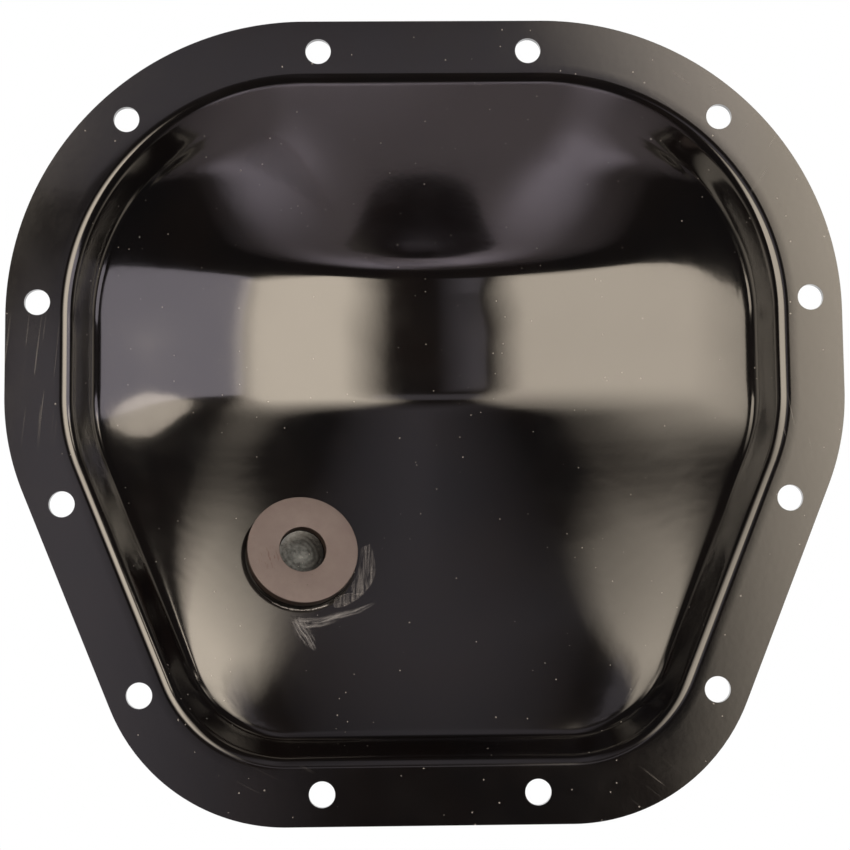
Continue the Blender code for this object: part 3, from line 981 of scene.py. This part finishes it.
def film_object(name, outlines, strips, solid, material):
    """Flakes and strips laid on the dome's skin as one thin piece."""
    mesh = bmesh.new()
    layers = mesh.verts.layers.float.new("edge"), mesh.verts.layers.float_vector.new("brushed")
    for outline in outlines:
        add_flake(mesh, layers, outline)
    for line in strips:
        add_strip(mesh, layers, line, solid)
    bmesh.ops.triangulate(mesh, faces=mesh.faces[:])
    for _ in range(FILM_SPLITS):
        long_edges = [edge for edge in mesh.edges if edge.calc_length() > FILM_SPACING]
        bmesh.ops.subdivide_edges(mesh, edges=long_edges, cuts=1)
        bmesh.ops.triangulate(mesh, faces=mesh.faces[:])
    for vertex in mesh.verts:
        vertex.co.y = skin_depth(vertex.co.x, vertex.co.z) - FILM_LIFT
    mesh.normal_update()
    for face in mesh.faces:
        if face.normal.y > 0:
            face.normal_flip()
    sheet = add_mesh(name + "_sheet", mesh)
    sheet.data.materials.append(material)
    thickness = sheet.modifiers.new("thickness", "SOLIDIFY")
    thickness.thickness = FILM_THICKNESS
    thickness.offset = 1.0
    film = plain_copy(name, sheet)
    bpy.data.objects.remove(sheet)
    film.data.shade_smooth()
    return film


def dried_film(name, colour, middle_cover, edge_cover, line_cover):
    """Thin dried cement, whitish along its edges and in its brushed lines, and clear between."""
    material, tree, shader, at, calculate = new_material(name)
    edge = attribute(tree, "edge").outputs["Fac"]
    brushed = attribute(tree, "brushed").outputs["Vector"]
    patches = remap(tree, noise(tree, at, 420.0, 4.0, 0.6), 0.45, 0.68, 0.0, 1.0)
    lines = remap(tree, noise(tree, brushed, 1150.0, 3.0, 0.6), 0.44, 0.60, 0.0, line_cover)
    marks = calculate("MULTIPLY_ADD", patches, middle_cover, lines)
    on_edge = calculate("POWER", edge, 2.0)
    inside = calculate("MULTIPLY", marks, calculate("SUBTRACT", 1.0, on_edge))
    broken = remap(tree, noise(tree, at, 1300.0, 3.0), 0.4, 0.6, 0.25 * edge_cover, edge_cover)
    alpha = calculate("MULTIPLY_ADD", on_edge, broken, inside)
    set_inputs(tree, shader, {"Base Color": colour, "Roughness": 0.42, "Alpha": alpha})
    return material


# Flakes, and a whitish strip along the bed's lower edge that is a painted highlight.
flakes_and_highlight_line = film_object(
    "adhesive_flakes_and_highlight_line",
    FLAKES,
    [painted_highlight_line()],
    True,
    dried_film("dried_flake_and_highlight_line", (0.55, 0.54, 0.55), 0.03, 0.40, 0.11),
)
smears = film_object(
    "adhesive_smears",
    [],
    [STREAK, DAB],
    False,
    dried_film("dried_smear", (0.36, 0.36, 0.38), 0.05, 0.0, 0.32),
)
for film in (flakes_and_highlight_line, smears):
    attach(film, "root")


# Studio: a white surround, and a pale floor below the hanging cover with two glowing reflectors
# on it. Softboxes and lengths of glowing cloth, which the camera sees straight through, stand in
# front and give the broad patches in the paint. Two lamps behind light the back of the cover.

FLOOR_HEIGHT = -0.6
PANEL_DISTANCE = 3.5
# Corners of the panels, as bearing and elevation in degrees from the cover.
RIGHT_OUTLINE = (
    (11, -14), (26, -24), (40, -14), (48, -2), (48, 14), (50, 24), (49, 36), (22, 42), (12, 36),
    (8, 30), (4, 23), (8, 17), (10, 10),
)
RIGHT_CORE = (
    (24, -8), (27, -18), (36, -8), (43, 0), (43, 14), (40, 24), (38, 34), (26, 38), (22, 34),
    (20, 30), (14, 24), (22, 16), (23, 8),
)
LEFT_OUTLINE = (
    (-74, -12), (-54, -22), (-20, -22), (-18, 0), (-17, 9), (-13, 16), (-11, 22), (-14, 30),
    (-20, 37), (-38, 39), (-56, 31), (-76, 21),
)
LEFT_CORE = (
    (-60, -4), (-50, -12), (-28, -12), (-26, 0), (-26, 9), (-22, 16), (-19, 22), (-22, 28),
    (-27, 33), (-36, 31), (-46, 24), (-58, 12),
)
RIGHT_SPOT = ((55, 15), (58, 11), (62, 9), (65, 11), (65, 16), (62, 20), (58, 22), (55, 20))
RIGHT_WALL = ((45, -6), (72, -6), (72, 13), (46, 13))
CEILING = ((-24, 24), (26, 24), (30, 72), (-28, 72))
CEILING_CORE = ((1, 40), (6, 40), (6, 60), (1, 60))
LEFT_STRIP = ((-18, -17), (-3, -17), (-3, 12), (-15, 12))
LEFT_STRIP_CORE = ((-17, -15), (-13, -15), (-13, 8), (-16, 8))
TOP_STRIP = ((-15, 14), (15, 14), (15, 21), (-15, 21))
NO_FADE = (89, 90)
WARM = (1.0, 0.87, 0.71)
NEUTRAL = (1.0, 0.91, 1.01)


def stage_material(name):
    """New material with one emission shader."""
    material = bpy.data.materials.new(name)
    material.use_nodes = True
    tree = material.node_tree
    tree.nodes.clear()
    glow = tree.nodes.new("ShaderNodeEmission")
    result = tree.nodes.new("ShaderNodeOutputMaterial")
    tree.links.new(glow.outputs[0], result.inputs["Surface"])
    return material, tree


def panel_material(name, radiance, colour, fade):
    """Glowing cloth that is dimmer towards its edge, and between the two elevations of its fade.
    Its glow is added to what lies behind it, and the camera sees straight through it."""
    material, tree = stage_material(name)
    calculate = calculator(tree)
    glow = attribute(tree, "glow").outputs["Fac"]
    place = tree.nodes.new("ShaderNodeTexCoord").outputs["Object"]
    axes = tree.nodes.new("ShaderNodeSeparateXYZ")
    tree.links.new(vector_math(tree, "NORMALIZE", place), axes.inputs[0])
    low, high = (math.sin(math.radians(elevation)) for elevation in fade)
    share = remap(tree, axes.outputs["Z"], low, high, 1.0, 0.0)
    strength = calculate("MULTIPLY", calculate("MULTIPLY", glow, radiance), share)
    rays = tree.nodes.new("ShaderNodeLightPath")
    unseen = calculate("SUBTRACT", 1.0, rays.outputs["Is Camera Ray"])
    cloth = tree.nodes["Emission"]
    strength = calculate("MULTIPLY", strength, unseen)
    set_inputs(tree, cloth, {"Color": colour, "Strength": strength})
    clear = tree.nodes.new("ShaderNodeBsdfTransparent")
    both = tree.nodes.new("ShaderNodeAddShader")
    set_inputs(tree, both, {0: cloth.outputs[0], 1: clear.outputs[0]})
    tree.links.new(both.outputs[0], tree.nodes["Material Output"].inputs["Surface"])
    return material


def direction_to(bearing, elevation):
    """Direction from the cover, by a bearing from straight ahead and an elevation in degrees."""
    turn, lift = math.radians(bearing), math.radians(elevation)
    return Vector((math.sin(turn) * math.cos(lift), -math.cos(turn) * math.cos(lift), math.sin(lift)))


def add_panel(name, outline, core, radiance, colour, fade=NO_FADE):
    """Flat cloth with an outline as seen from the cover. Its core is an outline or an inset."""
    middle = sum((direction_to(*corner) for corner in outline), Vector()).normalized()
    mesh = bmesh.new()
    glow = mesh.verts.layers.float.new("glow")

    def points(corners):
        towards = [direction_to(*corner) for corner in corners]
        return [mesh.verts.new(to * PANEL_DISTANCE / to.dot(middle)) for to in towards]

    rim = points(outline)
    if isinstance(core, float):
        cloth = mesh.faces.new(rim)
        bmesh.ops.inset_individual(mesh, faces=[cloth], thickness=core, use_even_offset=True)
    else:
        inner = points(core)
        mesh.faces.new(inner)
        for side in range(len(rim)):
            mesh.faces.new((rim[side - 1], rim[side], inner[side], inner[side - 1]))
    for vertex in mesh.verts:
        vertex[glow] = 0.0 if vertex in rim else 1.0
    panel = add_piece(name, mesh, panel_material(name + "_cloth", radiance, colour, fade))


add_panel("right_softbox", RIGHT_OUTLINE, RIGHT_CORE, 5.8, WARM, (18, 37))
add_panel("left_softbox", LEFT_OUTLINE, LEFT_CORE, 4.8, WARM, (8, 44))
add_panel("right_spot", RIGHT_SPOT, 0.14, 4.3, WARM)
add_panel("right_wall", RIGHT_WALL, 0.2, 1.6, NEUTRAL)
add_panel("ceiling", CEILING, CEILING_CORE, 0.27, NEUTRAL)
add_panel("left_strip", LEFT_STRIP, LEFT_STRIP_CORE, 0.5, NEUTRAL)
add_panel("top_strip", TOP_STRIP, 0.1, 0.38, NEUTRAL)


LAMP_DISTANCE = 2.2
LAMP_SIZE = 0.8


def add_lamp(name, bearing, elevation, radiance):
    """Square area lamp in a direction from the cover, aimed at it."""
    data = bpy.data.lights.new(name, "AREA")
    data.size = LAMP_SIZE
    data.energy = radiance * math.pi * LAMP_SIZE ** 2
    lamp = add_object(name, data)
    towards = direction_to(bearing, elevation)
    lamp.location = towards * LAMP_DISTANCE
    lamp.rotation_mode = "QUATERNION"
    lamp.rotation_quaternion = towards.to_track_quat("Z", "Y")


add_lamp("back_lamp", 180, 54, 9.0)
add_lamp("back_side_lamp", -125, 15, 4.0)


POOL_RINGS = 8
POOL_SIDES = 48
POOL_LIFT = 0.002


def add_pool(name, x, y, radius, radiance):
    """Round reflector that lies on the floor and glows softly, most in its middle."""
    shares = spread(0.0, 1.0, POOL_RINGS)[1:]
    mesh = turned([(share * radius, 0.0) for share in shares], False, POOL_SIDES)
    glow = mesh.verts.layers.float.new("glow")
    for index, vertex in enumerate(mesh.verts):
        vertex[glow] = (1 - shares[index // POOL_SIDES] ** 2) ** 2
    middle = mesh.verts.new((0.0, 0.0, 0.0))
    middle[glow] = 1.0
    mesh.verts.ensure_lookup_table()
    for side in range(POOL_SIDES):
        mesh.faces.new((middle, mesh.verts[(side or POOL_SIDES) - 1], mesh.verts[side]))
    bmesh.ops.translate(mesh, verts=mesh.verts, vec=(x, y, FLOOR_HEIGHT + POOL_LIFT))
    pool = add_piece(name, mesh, panel_material(name + "_cloth", radiance, NEUTRAL, NO_FADE))


add_pool("right_pool", 0.14, -0.35, 0.21, 0.75)
add_pool("left_pool", -0.06, -0.26, 0.18, 0.68)


FLOOR_RADIUS = 0.62
FLOOR_FADE = 0.16
FLOOR_COLOUR = (0.80, 0.72, 0.81)
FLOOR_GLOW = 0.4
FLAT = (1.0, 1.0, 0.0)


def floor_material():
    """Pale floor that fades out towards its edge, and that the camera sees nearly white."""
    material, tree, shader, at, calculate = new_material("pale_floor")
    rays = tree.nodes.new("ShaderNodeLightPath")
    seen = calculate("MULTIPLY", rays.outputs["Is Camera Ray"], FLOOR_GLOW)
    from_middle = vector_math(tree, "LENGTH", vector_math(tree, "MULTIPLY", at, FLAT))
    alpha = remap(tree, from_middle, FLOOR_FADE, FLOOR_RADIUS, 1.0, 0.0)
    glow = {"Emission Color": (1.0, 1.0, 1.0), "Emission Strength": seen}
    set_inputs(tree, shader, {"Base Color": FLOOR_COLOUR, "Roughness": 0.9, "Alpha": alpha, **glow})
    return material


floor_mesh = bmesh.new()
bmesh.ops.create_circle(
    floor_mesh, cap_ends=True, segments=96, radius=FLOOR_RADIUS,
    matrix=Matrix.Translation((0.0, 0.0, FLOOR_HEIGHT)),
)
floor = add_piece("floor", floor_mesh, floor_material())


AMBIENT = 0.022
ROOM_RADIUS = 4.2


def white_for(tree, outputs):
    """Strength of a surface that is white to the rays named, and nearly dark to all others."""
    calculate = calculator(tree)
    rays = tree.nodes.new("ShaderNodeLightPath")
    strength = AMBIENT
    for output in outputs:
        strength = calculate("MAXIMUM", rays.outputs[output], strength)
    return strength


def white_surround():
    """World that shows as white, also in metal and glass, and lights the cover only a little."""
    world = bpy.data.worlds.new("studio")
    world.use_nodes = True
    bpy.context.scene.world = world
    tree = world.node_tree
    strength = white_for(tree, ("Is Camera Ray", "Is Glossy Ray", "Is Transmission Ray"))
    set_inputs(tree, tree.nodes["Background"], {"Color": (1.0, 1.0, 1.0), "Strength": strength})


def add_room():
    """Dark half round of the room in front of the cover, which its gloss shows round the panels."""
    mesh = bmesh.new()
    bmesh.ops.create_uvsphere(mesh, u_segments=48, v_segments=24, radius=ROOM_RADIUS)
    behind = [vertex for vertex in mesh.verts if vertex.co.y > TINY]
    bmesh.ops.delete(mesh, geom=behind, context="VERTS")
    material, tree = stage_material("room_wall")
    strength = white_for(tree, ("Is Camera Ray",))
    tree.links.new(strength, tree.nodes["Emission"].inputs["Strength"])
    room = add_piece("dark_room", mesh, material)


white_surround()
add_room()


# Camera: level with the lower half of the cover and a little left of its middle, two thirds of
# a metre in front of the sealing face.

CAMERA_PLACE = Vector((-0.01263, -0.65211, -0.05914))
CAMERA_YAW = math.radians(-1.050)
CAMERA_PITCH = math.radians(4.837)
CAMERA_ROLL = math.radians(0.564)
FOCAL_PIXELS = 1640.3
PICTURE_PIXELS = 850

camera_data = bpy.data.cameras.new("camera")
camera_data.sensor_width = 36.0
camera_data.lens = camera_data.sensor_width * FOCAL_PIXELS / PICTURE_PIXELS
camera_data.clip_start = 0.01
camera = add_object("camera", camera_data)
aim = (
    Matrix.Rotation(CAMERA_YAW, 4, "Z")
    @ Matrix.Rotation(CAMERA_PITCH, 4, "X")
    @ Matrix.Rotation(CAMERA_ROLL, 4, "Y")
    @ Matrix.Rotation(math.pi / 2, 4, "X")
)
camera.matrix_world = Matrix.Translation(CAMERA_PLACE) @ aim
bpy.context.scene.camera = camera

bpy.context.scene.view_settings.view_transform = "Standard"
